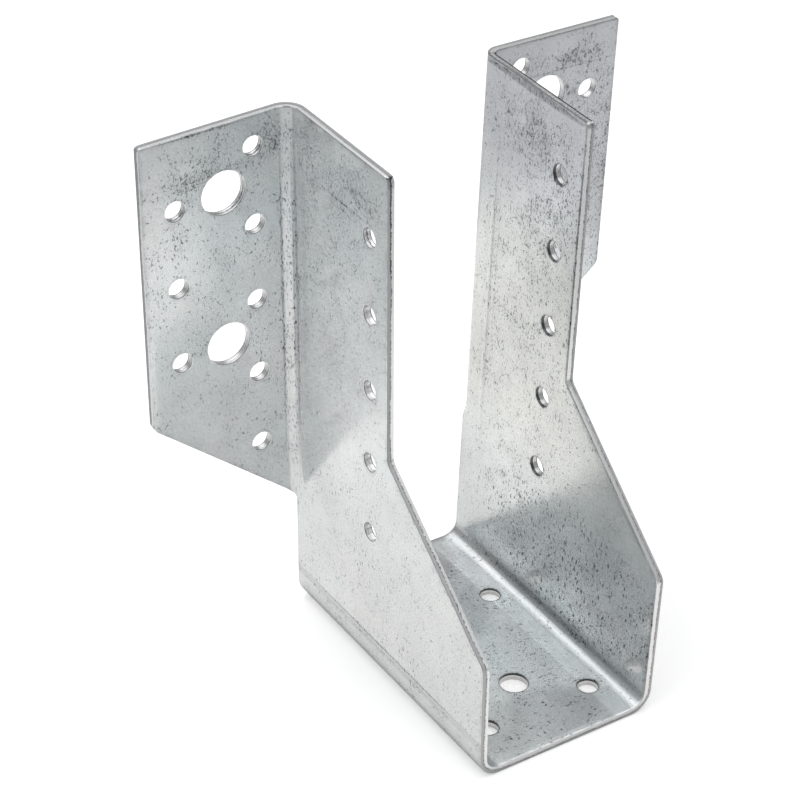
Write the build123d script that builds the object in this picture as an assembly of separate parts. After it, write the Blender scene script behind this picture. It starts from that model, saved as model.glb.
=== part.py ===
from build123d import *
from collections import namedtuple
import math
import os

# The hanger is one punched strip, folded into a joist channel with a flange on each side.
# All sizes are millimetres. X runs across the joist, +Y goes back to the header beam, +Z is up.
# The origin is on the underside of the floor, below the middle of the joist seat.

# The sheet and the channel
SHEET_THICKNESS = 2.0
JOIST_GAP = 45.0
FLOOR_BEND_RADIUS = 3.5
FLOOR_DEPTH = 79.2
REAR_EDGE_SETBACK = 1.3
UPPER_WALL_DEPTH = 41.2

# Roundings of the punched outline
SLANT_TOE_RADIUS = 3.0
SLANT_CREST_RADIUS = 2.0
WALL_TOP_CORNER_RADIUS = 1.2
FLANGE_TOP_CORNER_RADIUS = 0.8
FLANGE_TIP_CORNER_RADIUS = 3.0

# Each flange's lower edge rises outwards at this slope, and its bend runs out into the flat
# wall below over this height.
FLANGE_LOWER_SLOPE = 0.88
BEND_RUNOUT_HEIGHT = 4.4
# Steps of the run-out: share of the height, share of the full curvature, share of the extra width.
RUNOUT_STEPS = ((0.25, 0.25, 0.05), (0.5, 0.6, 0.22), (0.75, 0.9, 0.55), (1.0, 1.0, 1.0))

# Holes, with their heights measured up the wall from the underside of the floor
NAIL_HOLE_RADIUS = 2.55
BOLT_HOLE_RADIUS = 5.55
FLOOR_CENTRE_HOLE_RADIUS = 3.5
HOLE_PITCH = 20.0
INNER_COLUMN_TOP_Z = 132.0
INNER_COLUMN_COUNT = 5
OUTER_COLUMN_TOP_Z = 121.7
OUTER_COLUMN_COUNT = 3
OUTER_COLUMN_STEP = 20.0
BOLT_TOP_Z = 122.5
BOLT_PITCH = 40.0
BOLT_COUNT = 2
BOLT_COLUMN_STEP = 7.8
WALL_COLUMN_TOP_Z = 121.7
WALL_COLUMN_COUNT = 5
FLOOR_HOLES_OFFSET_X = 0.7
FLOOR_NAIL_SPACING_X = 29.0
FLOOR_NAIL_SPACING_Y = 40.8
FLOOR_NAIL_FRONT_SETBACK = 12.1
FLOOR_CENTRE_HOLE_SETBACK = 22.2

# The punched strip is not quite even about its middle, and each bend springs back by its own
# amount, so the two sides have their own sizes. Flange widths and the inner column are measured
# from the wall's outer face, the wall's column from the header face.
Side = namedtuple(
    "Side",
    "lean_deg height slant_toe_z slant_crest_z flange_width flange_tip_z "
    "flange_bend_radius inner_column_offset wall_column_setback",
)
LEFT = Side(
    lean_deg=1.7,
    height=139.7,
    slant_toe_z=32.8,
    slant_crest_z=65.9,
    flange_width=37.9,
    flange_tip_z=65.9,
    flange_bend_radius=3.2,
    inner_column_offset=9.7,
    wall_column_setback=34.1,
)
RIGHT = Side(
    lean_deg=0.6,
    height=138.4,
    slant_toe_z=38.4,
    slant_crest_z=70.6,
    flange_width=36.3,
    flange_tip_z=71.6,
    flange_bend_radius=2.0,
    inner_column_offset=8.4,
    wall_column_setback=32.8,
)

# Places that follow from the sizes
HALF_TURN = 180
QUARTER_TURN = 90
CUTTER_LENGTH = 3 * SHEET_THICKNESS
FRONT_Y = -FLOOR_DEPTH / 2
REAR_Y = FLOOR_DEPTH / 2
HEADER_Y = REAR_Y + REAR_EDGE_SETBACK
UPPER_FRONT_Y = HEADER_Y - UPPER_WALL_DEPTH
FLOOR_BEND_Z = SHEET_THICKNESS + FLOOR_BEND_RADIUS
FLOOR_BEND_X = JOIST_GAP / 2 - FLOOR_BEND_RADIUS
# A side is first built upright, with the axis of its floor bend at X = 0 and its wall on +X.
WALL_INNER_X = FLOOR_BEND_RADIUS
WALL_OUTER_X = FLOOR_BEND_RADIUS + SHEET_THICKNESS


def rounded_face(points, roundings):
    """A closed outline with some of its corners rounded: roundings maps a corner's index to a radius."""
    face = make_face(Polyline(*points, close=True))
    for index, radius in roundings.items():
        corner = face.vertices().sort_by_distance((*points[index], 0))[0]
        face = fillet(corner, radius)
    return face


def ring_sector(centre, inside_radius, start_deg, sweep_deg):
    """The sheet's section round a bend."""
    inner = CenterArc(centre, inside_radius, start_deg, sweep_deg)
    outer = CenterArc(centre, inside_radius + SHEET_THICKNESS, start_deg, sweep_deg)
    return make_face([inner, outer, Line(inner @ 0, outer @ 0), Line(inner @ 1, outer @ 1)])


def round_cutter(x, y, z, axis, radius):
    """A drill through the sheet, along the given axis."""
    return Plane(origin=(x, y, z), z_dir=axis) * Cylinder(radius, CUTTER_LENGTH)


def column_heights(top, pitch, count):
    return [top - pitch * step for step in range(count)]


def flange_bend_start_y(side):
    return HEADER_Y - SHEET_THICKNESS - side.flange_bend_radius


def flange_root_z(side):
    """Height at which the flange's lower edge reaches its bend."""
    return side.flange_tip_z - FLANGE_LOWER_SLOPE * (side.flange_width - side.flange_bend_radius)


def make_wall(side):
    """The flat wall: full depth at its foot, slanted back to the shallow upper part."""
    bend_y = flange_bend_start_y(side)
    runout_z = flange_root_z(side) - BEND_RUNOUT_HEIGHT
    points = [
        (FRONT_Y, FLOOR_BEND_Z),
        (FRONT_Y, side.slant_toe_z),
        (UPPER_FRONT_Y, side.slant_crest_z),
        (UPPER_FRONT_Y, side.height),
        (bend_y, side.height),
        (bend_y, runout_z),
        (REAR_Y, runout_z),
        (REAR_Y, FLOOR_BEND_Z),
    ]
    roundings = {1: SLANT_TOE_RADIUS, 2: SLANT_CREST_RADIUS, 3: WALL_TOP_CORNER_RADIUS}
    outline = rounded_face(points, roundings)
    return extrude(Plane.YZ.offset(WALL_INNER_X) * outline, SHEET_THICKNESS)


def make_bend_runout(side):
    """The foot of the flange bend, where the curve fades into the flat wall."""
    bend_y = flange_bend_start_y(side)
    middle_radius = side.flange_bend_radius + SHEET_THICKNESS / 2
    full_length = middle_radius * math.pi / 2
    flat_length = REAR_Y - bend_y
    foot_z = flange_root_z(side) - BEND_RUNOUT_HEIGHT
    flat = make_face(
        Polyline(
            (WALL_INNER_X, bend_y),
            (WALL_OUTER_X, bend_y),
            (WALL_OUTER_X, REAR_Y),
            (WALL_INNER_X, REAR_Y),
            close=True,
        )
    )
    sections = [Plane.XY.offset(foot_z) * flat]
    for rise, curvature, widening in RUNOUT_STEPS:
        radius = middle_radius / curvature
        length = flat_length + widening * (full_length - flat_length)
        inside = radius - SHEET_THICKNESS / 2
        sweep = -math.degrees(length / radius)
        curved = ring_sector((WALL_OUTER_X + inside, bend_y), inside, HALF_TURN, sweep)
        sections.append(Plane.XY.offset(foot_z + rise * BEND_RUNOUT_HEIGHT) * curved)
    return loft(sections)


def make_flange(side):
    """The bend at the back of the wall and the flat flange that lies against the header."""
    root_z = flange_root_z(side)
    bend_x = WALL_OUTER_X + side.flange_bend_radius
    tip_x = WALL_OUTER_X + side.flange_width
    section = ring_sector(
        (bend_x, flange_bend_start_y(side)), side.flange_bend_radius, HALF_TURN, -QUARTER_TURN
    )
    bend = extrude(Plane.XY.offset(root_z) * section, side.height - root_z)
    points = [
        (bend_x, root_z),
        (tip_x, side.flange_tip_z),
        (tip_x, side.height),
        (bend_x, side.height),
    ]
    outline = rounded_face(points, {1: FLANGE_TIP_CORNER_RADIUS, 2: FLANGE_TOP_CORNER_RADIUS})
    plate = extrude(Plane.XZ.offset(-HEADER_Y) * outline, SHEET_THICKNESS)
    return bend + plate


def side_cutters(side):
    """Every hole of one wall and its flange."""
    inner_x = WALL_OUTER_X + side.inner_column_offset
    outer_x = inner_x + OUTER_COLUMN_STEP
    bolt_x = inner_x + BOLT_COLUMN_STEP
    flange_columns = (
        (inner_x, column_heights(INNER_COLUMN_TOP_Z, HOLE_PITCH, INNER_COLUMN_COUNT), NAIL_HOLE_RADIUS),
        (outer_x, column_heights(OUTER_COLUMN_TOP_Z, HOLE_PITCH, OUTER_COLUMN_COUNT), NAIL_HOLE_RADIUS),
        (bolt_x, column_heights(BOLT_TOP_Z, BOLT_PITCH, BOLT_COUNT), BOLT_HOLE_RADIUS),
    )
    cutters = []
    for x, heights, radius in flange_columns:
        cutters += [round_cutter(x, HEADER_Y, z, (0, 1, 0), radius) for z in heights]
    wall_y = HEADER_Y - side.wall_column_setback
    for z in column_heights(WALL_COLUMN_TOP_Z, HOLE_PITCH, WALL_COLUMN_COUNT):
        cutters.append(round_cutter(WALL_OUTER_X, wall_y, z, (1, 0, 0), NAIL_HOLE_RADIUS))
    return cutters


def make_side(side):
    """One wall and flange, leaned outwards about its floor bend and moved to the right of the joist."""
    upright = make_wall(side) + make_bend_runout(side) + make_flange(side)
    upright = upright - side_cutters(side)
    leaned = upright.rotate(Axis((0, 0, FLOOR_BEND_Z), (0, 1, 0)), side.lean_deg)
    return Pos(X=FLOOR_BEND_X) * leaned


def make_floor_bend(side):
    """The bend from the floor up to a leaning wall."""
    section = ring_sector(
        (FLOOR_BEND_X, FLOOR_BEND_Z), FLOOR_BEND_RADIUS, -QUARTER_TURN, QUARTER_TURN - side.lean_deg
    )
    return extrude(Plane.XZ.offset(-REAR_Y) * section, FLOOR_DEPTH)


def make_floor():
    """The joist seat with its holes."""
    plate = Pos(Z=SHEET_THICKNESS / 2) * Box(2 * FLOOR_BEND_X, FLOOR_DEPTH, SHEET_THICKNESS)
    front_nail_y = FRONT_Y + FLOOR_NAIL_FRONT_SETBACK
    centre_y = FRONT_Y + FLOOR_CENTRE_HOLE_SETBACK
    cutters = [
        round_cutter(FLOOR_HOLES_OFFSET_X + step, y, 0, (0, 0, 1), NAIL_HOLE_RADIUS)
        for step in (-FLOOR_NAIL_SPACING_X / 2, FLOOR_NAIL_SPACING_X / 2)
        for y in (front_nail_y, front_nail_y + FLOOR_NAIL_SPACING_Y)
    ]
    cutters.append(round_cutter(FLOOR_HOLES_OFFSET_X, centre_y, 0, (0, 0, 1), FLOOR_CENTRE_HOLE_RADIUS))
    return plate - cutters


def mirrored(shape):
    return mirror(shape, about=Plane.YZ)


floor = make_floor()
right = make_floor_bend(RIGHT) + make_side(RIGHT)
left = mirrored(make_floor_bend(LEFT) + make_side(LEFT))
hanger = floor + right + left

os.makedirs("parts", exist_ok=True)
export_step(hanger.solid(), "parts/hanger_sheet.step")
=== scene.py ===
# %% [markdown]
# # A joist hanger, folded from one punched strip
# A joist hanger is a single strip of hot-dip galvanised steel. It is blanked and punched flat, then
# folded four times: two bends make the channel that holds the joist, and two more turn the rear
# edges outwards as nailing flanges. This lesson makes it the same way. The flat blank is a mesh
# with rolled and sheared edges, Geometry Nodes fold it, and every mark on the zinc is drawn in the
# blank's own coordinates, so that it runs round the bends as it does on the real sheet.

# %% Load the frame
import math

import bpy
import numpy as np
from mathutils import Matrix, Vector
from mathutils.geometry import delaunay_2d_cdt


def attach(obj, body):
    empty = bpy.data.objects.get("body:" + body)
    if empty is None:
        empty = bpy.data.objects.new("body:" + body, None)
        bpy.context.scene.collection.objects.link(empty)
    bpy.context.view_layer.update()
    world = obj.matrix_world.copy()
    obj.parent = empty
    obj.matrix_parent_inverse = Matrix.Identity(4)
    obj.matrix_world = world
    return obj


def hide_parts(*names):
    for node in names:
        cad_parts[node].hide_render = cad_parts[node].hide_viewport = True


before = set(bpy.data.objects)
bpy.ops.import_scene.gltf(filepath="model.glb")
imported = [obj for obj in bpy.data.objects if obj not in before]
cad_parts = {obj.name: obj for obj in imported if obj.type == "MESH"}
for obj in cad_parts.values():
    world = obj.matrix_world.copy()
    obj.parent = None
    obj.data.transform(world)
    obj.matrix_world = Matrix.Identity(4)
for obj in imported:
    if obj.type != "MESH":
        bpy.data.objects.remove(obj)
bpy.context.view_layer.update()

# %% [markdown]
# ## The sizes
# All sizes are millimetres, and the mesh is scaled to metres when it is folded. They are the sizes
# of the hanger's CAD solid. X runs across the joist, +Y goes back to the header and +Z is up. The
# strip is not quite even about its middle, so each side has a few sizes of its own: its lean in
# degrees, the heights of its top, of the slanted cut's toe and crest and of the flange's tip, the
# flange's width and bend radius, and how far the inner column and the wall's column of holes lie
# from the wall and from the header.

# %% Sizes of the sheet and its folds
MM = 0.001
SHEET = 2.0
HALF_SHEET = SHEET / 2
FLOOR_HALF = 19.0
FLOOR_BEND_RADIUS = 3.5
FLOOR_BEND_Z = SHEET + FLOOR_BEND_RADIUS
FLOOR_FOLD = FLOOR_BEND_RADIUS + HALF_SHEET
FRONT_V = -39.6
REAR_V = 39.6
HEADER_Y = 40.9
UPPER_DEPTH = 41.2
UPPER_FRONT_V = HEADER_Y - UPPER_DEPTH
RUNOUT_HEIGHT = 4.4
FLANGE_SLOPE = 0.88
# Share of the run-out's height, of the bend's full curvature and of the extra width there
RUNOUT_STEPS = (
    (0.0, 0.0, 0.0), (0.25, 0.25, 0.05), (0.5, 0.6, 0.22), (0.75, 0.9, 0.55), (1.0, 1.0, 1.0),
)
SIDES = {
    "left": dict(sign=-1, lean=1.7, height=139.7, toe=32.8, crest=65.9, width=37.9, tip=65.9,
                 bend=3.2, inner=9.7, wall_hole=34.1),
    "right": dict(sign=1, lean=0.6, height=138.4, toe=38.4, crest=70.6, width=36.3, tip=71.6,
                  bend=2.0, inner=8.4, wall_hole=32.8),
}

for name, side in SIDES.items():
    side["lean"] = math.radians(side["lean"])
    side["fold"] = side["bend"] + HALF_SHEET
    side["fold_length"] = side["fold"] * math.pi / 2
    side["fold_v"] = HEADER_Y - SHEET - side["bend"]
    side["fold_end"] = side["fold_v"] + side["fold_length"]
    side["foot"] = side["tip"] - FLANGE_SLOPE * (side["width"] - side["bend"]) - RUNOUT_HEIGHT
    side["wall_u"] = FLOOR_HALF + FLOOR_FOLD * (math.pi / 2 - side["lean"])
    side["tip_v"] = side["fold_end"] + side["width"] - side["bend"]
    print(name, "flat length from the middle", round(side["wall_u"] + side["height"] - FLOOR_BEND_Z, 2),
          "flat width", round(side["tip_v"] - UPPER_FRONT_V, 2))


def flat_u(side, height):
    """How far from the strip's middle a point of the wall lies on the flat blank."""
    return side["wall_u"] + height - FLOOR_BEND_Z


# %% [markdown]
# ## The outline of the blank
# The blank's outline is a chain of straight cuts with small rounded corners. On the flat strip u
# runs across the joist, up each wall, and v runs from the front edge to the tip of the flange. The
# corners are given once a side, with their radii, and mirrored by the sign of u. Points lie about
# 0.8 mm apart, so that the cut face can be rough, and closer round the corners.

# %% Corners of half the outline
TOE_ROUND, CREST_ROUND, WALL_TOP_ROUND = 3.0, 2.0, 1.2
FLANGE_TOP_ROUND, FLANGE_TIP_ROUND = 0.8, 3.0


def outline_corners(side):
    """The corners of half the blank, from the middle of its front to the middle of its rear."""
    top = flat_u(side, side["height"])
    corners = [
        (flat_u(side, side["toe"]), FRONT_V, TOE_ROUND),
        (flat_u(side, side["crest"]), UPPER_FRONT_V, CREST_ROUND),
        (top, UPPER_FRONT_V, WALL_TOP_ROUND),
        (top, side["tip_v"], FLANGE_TOP_ROUND),
        (flat_u(side, side["tip"]), side["tip_v"], FLANGE_TIP_ROUND),
    ]
    extra = side["fold_end"] - REAR_V
    for rise, _, widening in reversed(RUNOUT_STEPS):
        u = flat_u(side, side["foot"] + rise * RUNOUT_HEIGHT)
        corners.append((u, REAR_V + widening * extra, 0.0))
    return [(side["sign"] * u, v, radius) for u, v, radius in corners]


# %% The outline as a closed chain of points
CUT_STEP, CORNER_STEP = 0.8, 0.35
LEAST_CORNER_STEPS = 4


def rounded_chain(corners):
    """The closed outline through the corners, each rounded by its radius."""
    chain = []
    count = len(corners)
    for i, (u, v, radius) in enumerate(corners):
        here = np.array((u, v))
        if radius == 0:
            chain.append(here)
            continue
        before = np.array(corners[i - 1][:2]) - here
        after = np.array(corners[(i + 1) % count][:2]) - here
        before, after = before / np.linalg.norm(before), after / np.linalg.norm(after)
        angle = math.acos(np.clip(before @ after, -1, 1))
        run = radius / math.tan(angle / 2)
        start, end = here + before * run, here + after * run
        halfway = (before + after) / np.linalg.norm(before + after)
        middle = here + halfway * radius / math.sin(angle / 2)
        steps = max(LEAST_CORNER_STEPS, round(radius * (math.pi - angle) / CORNER_STEP))
        for share in np.linspace(0, 1, steps + 1):
            way = (start - middle) * (1 - share) + (end - middle) * share
            chain.append(middle + way / np.linalg.norm(way) * radius)
    points = []
    for a, b in zip(chain, chain[1:] + chain[:1]):
        pieces = max(1, round(np.linalg.norm(b - a) / CUT_STEP))
        points += [a + (b - a) * k / pieces for k in range(pieces)]
    return np.array(points)


right_half = outline_corners(SIDES["right"])
left_half = outline_corners(SIDES["left"])
outline = rounded_chain(right_half + left_half[::-1])
print("outline points", len(outline))

# %% [markdown]
# ## The holes
# Nail holes repeat at 20 mm in three columns a side, and the bolt holes lie between the flange's
# two columns. A hole is given by its height up the wall, which flat_u turns into its place on the
# strip. The floor has four nail holes and one larger centre hole, all set a little to the right.

# %% Holes as closed chains of points
HOLE_STEP, LEAST_HOLE_POINTS = 0.6, 24
NAIL_RADIUS, BOLT_RADIUS, CENTRE_RADIUS = 2.55, 5.55, 3.5
PITCH = 20.0
FLOOR_HOLES_U, FLOOR_NAIL_HALF_GAP = 0.7, 14.5
CENTRE_SETBACK, FLOOR_NAIL_SETBACK, FLOOR_NAIL_SPACING = 22.2, 12.1, 40.8
INNER_TOP, OUTER_TOP, BOLT_TOP, WALL_HOLES_TOP = 132.0, 121.7, 122.5, 121.7
INNER_COUNT, OUTER_COUNT, BOLT_COUNT, WALL_COUNT = 5, 3, 2, 5
OUTER_STEP, BOLT_STEP = 20.0, 7.8


def circle_chain(u, v, radius):
    """The points round one hole."""
    steps = max(LEAST_HOLE_POINTS, round(2 * math.pi * radius / HOLE_STEP))
    turn = np.linspace(0, 2 * math.pi, steps, endpoint=False)
    return np.stack([u + radius * np.cos(turn), v + radius * np.sin(turn)], 1)


holes = [circle_chain(FLOOR_HOLES_U, FRONT_V + CENTRE_SETBACK, CENTRE_RADIUS)]
for u in (FLOOR_HOLES_U - FLOOR_NAIL_HALF_GAP, FLOOR_HOLES_U + FLOOR_NAIL_HALF_GAP):
    for step in (0, FLOOR_NAIL_SPACING):
        holes.append(circle_chain(u, FRONT_V + FLOOR_NAIL_SETBACK + step, NAIL_RADIUS))
for side in SIDES.values():
    inner_v = side["fold_end"] + side["inner"] - side["bend"]
    columns = [
        (inner_v, INNER_TOP, PITCH, INNER_COUNT, NAIL_RADIUS),
        (inner_v + OUTER_STEP, OUTER_TOP, PITCH, OUTER_COUNT, NAIL_RADIUS),
        (inner_v + BOLT_STEP, BOLT_TOP, 2 * PITCH, BOLT_COUNT, BOLT_RADIUS),
        (HEADER_Y - side["wall_hole"], WALL_HOLES_TOP, PITCH, WALL_COUNT, NAIL_RADIUS),
    ]
    for v, top, pitch, count, radius in columns:
        heights = [top - pitch * k for k in range(count)]
        holes += [circle_chain(side["sign"] * flat_u(side, z), v, radius) for z in heights]
print("holes", len(holes))

# %% [markdown]
# ## The blank as a plate with real edges
# A punch presses the sheet down before it cuts. The face it enters by is drawn over into a soft
# curve, the first part of the cut is burnished, and the rest breaks away as a rough grey face with
# a sharp lip. The notches and holes were punched from the joist face, and the strip's ends and
# long edges were sheared from the other one. So each chain of the outline is repeated a few times
# inside the plate, at growing distances, and each copy sits at the depth that the drawn edge has
# there. The rest of the face is a grid, fine across the folds and coarse on the flats.

# %% Which way is into the sheet, and what lies inside a chain
BATCH = 4000


def inward_normals(chain, into_material):
    """Unit normals of a closed chain, pointing into the sheet."""
    along = np.roll(chain, -1, 0) - np.roll(chain, 1, 0)
    normals = np.stack([-along[:, 1], along[:, 0]], 1)
    normals /= np.linalg.norm(normals, axis=1)[:, None]
    area = np.sum(chain[:, 0] * np.roll(chain[:, 1], -1) - np.roll(chain[:, 0], -1) * chain[:, 1])
    return normals * (1 if area > 0 else -1) * (1 if into_material else -1)


def inside(points, chain):
    """Which points lie inside a closed chain, by counting the crossings of a ray."""
    a, b = chain, np.roll(chain, -1, 0)
    result = np.zeros(len(points), bool)
    for start in range(0, len(points), BATCH):
        p = points[start:start + BATCH, None]
        crosses = (a[None, :, 1] > p[..., 1]) != (b[None, :, 1] > p[..., 1])
        rise = np.where(b[:, 1] == a[:, 1], 1.0, b[:, 1] - a[:, 1])
        at = a[:, 0] + (p[..., 1] - a[:, 1]) * (b[:, 0] - a[:, 0]) / rise
        result[start:start + BATCH] = (crosses & (p[..., 0] < at)).sum(1) % 2 == 1
    return result


# %% The grid of the flats and folds
FINE_U, FINE_V, COARSE_U = 0.4, 0.35, 3.0
FLOOR_LINES, WALL_LINES, FLANGE_LINES = 14, 28, 13
NEAR_MIDDLE = 1e-6


def grid_points():
    """Where the grid runs: fine across the folds and their run-outs, coarse on the flats."""
    u_lines = set(np.linspace(-FLOOR_HALF, FLOOR_HALF, FLOOR_LINES))
    for side in SIDES.values():
        foot_u, fold_u = (flat_u(side, side["foot"] + rise) for rise in (0.0, RUNOUT_HEIGHT))
        stops = [(FLOOR_HALF, side["wall_u"], FINE_U), (side["wall_u"], foot_u, COARSE_U),
                 (foot_u, fold_u, FINE_U), (fold_u, flat_u(side, side["height"]), COARSE_U)]
        for low, high, step in stops:
            u_lines |= set(side["sign"] * np.linspace(low, high, round((high - low) / step) + 1))
    places = []
    for side in SIDES.values():
        v_lines = np.concatenate([
            np.linspace(FRONT_V, side["fold_v"], WALL_LINES),
            np.linspace(side["fold_v"], side["fold_end"], round(side["fold_length"] / FINE_V) + 1)[1:],
            np.linspace(side["fold_end"], side["tip_v"], FLANGE_LINES)[1:],
        ])
        places += [(u, v) for u in sorted(u_lines) if side["sign"] * u > NEAR_MIDDLE for v in v_lines]
    places += [(0.0, v) for v in np.linspace(FRONT_V, REAR_V, WALL_LINES)]
    return np.array(places)


# %% Which way each cut was made
ON_EDGE = 0.05
SMOOTHINGS = 3


def cut_way(chain):
    """1 where the punch entered by the joist face, -1 where the shears entered by the outer one."""
    way = np.ones(len(chain))
    for side in SIDES.values():
        end_cut = side["sign"] * chain[:, 0] > flat_u(side, side["height"]) - ON_EDGE
        long_cut = (side["sign"] * chain[:, 0] > 0) & (chain[:, 1] > side["tip_v"] - ON_EDGE)
        way[end_cut | long_cut] = -1.0
    for _ in range(SMOOTHINGS):
        way = (np.roll(way, 1) + way + np.roll(way, -1)) / 3
    return way


# %% Points of the faces
# Each point is marked with its distance from the cut, the cut's way and whether it is a hole's.
# Points far from every cut share one mark.
RING_DISTANCES = (0.0, 0.07, 0.18, 0.35, 0.6, 1.0, 1.5, 2.0)
HOLE_RING_COUNT = 5
# The grid keeps this far from the cuts, which leaves room for the rings
GRID_CLEARANCE = 2.5
FAR_MARK = (9.0, 1.0, 0.0)

loops = [outline] + holes
points, marks = [], []
for ring, distance in enumerate(RING_DISTANCES):
    for k, loop in enumerate(loops[:1] if ring >= HOLE_RING_COUNT else loops):
        way = np.ones(len(loop)) if k else cut_way(loop)
        points.append(loop + inward_normals(loop, k == 0) * distance)
        marks.append(np.column_stack([np.full(len(loop), distance), way, np.full(len(loop), float(k > 0))]))
grid = grid_points()
cut_points = np.concatenate(loops)
keep = inside(grid, outline)
for start in range(0, len(grid), BATCH):
    part = slice(start, start + BATCH)
    gap = np.linalg.norm(grid[part, None] - cut_points[None], axis=2).min(1)
    keep[part] &= gap > GRID_CLEARANCE
for hole in holes:
    keep &= ~inside(grid, hole)
grid = grid[keep]
points = np.concatenate(points + [grid])
marks = np.concatenate(marks + [np.tile(FAR_MARK, (len(grid), 1))])
print("points of one face", len(points), "of them in the grid", len(grid))

# %% [markdown]
# ## Joining the points
# A Delaunay triangulation joins the rings to the grid with triangles that are as even as they can
# be, and keeps the cuts as edges. It fills the holes too, so triangles with their middle outside
# the sheet are left out. The same triangles serve both faces.

# %% Triangles of the faces
MERGE_DISTANCE = 1e-5
WHOLE_HULL = 0

chain_edges, first = [], 0
for loop in loops:
    count = len(loop)
    chain_edges += [(first + k, first + (k + 1) % count) for k in range(count)]
    first += count
places = [Vector(p) for p in points]
verts, _, faces, vert_ids, _, _ = delaunay_2d_cdt(places, chain_edges, [], WHOLE_HULL, MERGE_DISTANCE, True)
flat = np.array(verts)
face_marks = np.array([marks[ids[0]] if ids else FAR_MARK for ids in vert_ids])
triangles = np.array(faces)
centres = flat[triangles].mean(1)
solid = inside(centres, outline)
for hole in holes:
    solid &= ~inside(centres, hole)
triangles = triangles[solid]
corner = flat[triangles]
span_a, span_b = corner[:, 1] - corner[:, 0], corner[:, 2] - corner[:, 0]
area = span_a[:, 0] * span_b[:, 1] - span_a[:, 1] * span_b[:, 0]
triangles[area < 0] = triangles[area < 0][:, ::-1]
print("triangles of one face", len(triangles))

# %% [markdown]
# ## Closing the cut
# The faces' open edges are the cut itself. Between the two faces it gets six rows of points. The
# burnished part is straight, and the broken part leans back into the sheet a little, unevenly, by
# seeded amounts of a few hundredths of a millimetre. Each point also keeps how far it lies from
# the cut and which way the cut was made, so that the materials can follow the edge.

# %% How deep the two faces dip at the cut
SHARP_WIDTH, SHARP_DEPTH = 0.15, 0.03
LIP_WIDTH, LIP_DEPTH = 0.45, 0.12
DRAW_WIDTH, DRAW_DEPTH = 1.9, 0.07


def dip(distance, width, drop):
    """How far the face dips near the cut: steepest at the cut, and nothing beyond the width."""
    return drop * np.clip(1 - distance / width, 0, 1) ** 2


distance, way, by_hole = face_marks.T
left_sharp = dip(distance, SHARP_WIDTH, SHARP_DEPTH)
lip = dip(distance, LIP_WIDTH, LIP_DEPTH) + dip(distance, DRAW_WIDTH, DRAW_DEPTH)
entered = np.where(by_hole > 0, left_sharp, lip)
joist_share = (1 + way) / 2
joist_t = HALF_SHEET - joist_share * entered - (1 - joist_share) * left_sharp
outer_t = -HALF_SHEET + (1 - joist_share) * entered + joist_share * left_sharp
print("deepest dip", round(HALF_SHEET - joist_t.min(), 3), "mm")

# %% The open edges, and the way into the sheet from them
edge_count = {}
for a, b, c in triangles:
    for pair in ((a, b), (b, c), (c, a)):
        edge_count[pair] = edge_count.get(pair, 0) + 1
rim = [pair for pair in edge_count if pair[::-1] not in edge_count]
rim_before = {b: a for a, b in rim}
rim_index = {a: k for k, (a, _) in enumerate(rim)}
rim_from = np.array([a for a, _ in rim])
along = flat[[b for _, b in rim]] - flat[[rim_before[a] for a, _ in rim]]
inward = np.stack([-along[:, 1], along[:, 0]], 1) / np.linalg.norm(along, axis=1)[:, None]
print("edges round the cuts", len(rim))

# %% Build the flat plate
ROW_HEIGHTS = (-0.8, -0.45, -0.1, 0.15, 0.5, 0.75)
# The broken part leans back by this much, give or take, and starts this steeply past the middle
BREAK_LEAN, BREAK_ROUGH, BREAK_GROWTH = 0.06, 0.015, 3
# A hole is cut cleaner: this share of the break is missing there
HOLE_CLEANNESS = 0.8
SEED = 7
rng = np.random.default_rng(SEED)

count = len(flat)
plate_points = [np.column_stack([flat, joist_t]), np.column_stack([flat, outer_t])]
plate_marks = [face_marks, face_marks]
plate_faces = [list(t) for t in triangles] + [[count + c, count + b, count + a] for a, b, c in triangles]
is_cut = [False] * len(plate_faces)
for t in ROW_HEIGHTS:
    broken = np.clip(-t * way[rim_from] * BREAK_GROWTH, 0, 1) * (1 - HOLE_CLEANNESS * by_hole[rim_from])
    shift = broken * (BREAK_LEAN + BREAK_ROUGH * rng.normal(0, 1, len(rim)))
    plate_points.append(np.column_stack([flat[rim_from] + inward * shift[:, None], np.full(len(rim), t)]))
    plate_marks.append(face_marks[rim_from])
rows = 2 * count + len(rim) * np.arange(len(ROW_HEIGHTS))
for k, (a, b) in enumerate(rim):
    levels_a = [count + a, *(rows + k), a]
    levels_b = [count + b, *(rows + rim_index[b]), b]
    for low in range(len(levels_a) - 1):
        plate_faces.append([levels_a[low], levels_b[low], levels_b[low + 1], levels_a[low + 1]])
        is_cut.append(True)
plate_points, plate_marks = np.concatenate(plate_points), np.concatenate(plate_marks)
plate = bpy.data.meshes.new("flat_blank")
plate.from_pydata([tuple(p) for p in plate_points], [], [[int(i) for i in f] for f in plate_faces])
plate.attributes.new("cut", "BOOLEAN", "FACE").data.foreach_set("value", is_cut)
plate.attributes.new("edge", "FLOAT_VECTOR", "POINT").data.foreach_set("vector", plate_marks.ravel())
plate.polygons.foreach_set("use_smooth", [True] * len(plate.polygons))
hanger = bpy.data.objects.new("hanger_visual", plate)
bpy.context.scene.collection.objects.link(hanger)
print("flat blank:", len(plate.vertices), "points", len(plate.polygons), "faces")

# %% [markdown]
# ## Materials
# Continuously hot-dip galvanised sheet has a thin zinc coat with hardly any spangle. Fresh from the
# line it mirrors its surroundings softly, and a thin film of oxide scatters the rest of the light.
# Handling and the press leave short dark scuffs and nicks, and rub lines where the dies slid, and
# some dark lines and bright marks on the zinc are painted shade and painted highlights. The cut
# edges show the steel itself, rougher than the zinc, and dark where it tore; the dark rims inside
# the holes are painted shade. Both are metals, so their colour is what they reflect, and both are
# built from plain nodes by one small helper.

# %% One helper for colours and one for nodes
# A Mix node set to colours takes them at these inputs and gives the result at its third output
FROM, TO = 6, 7
COLOUR_MIX = dict(data_type="RGBA", output=2)
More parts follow.
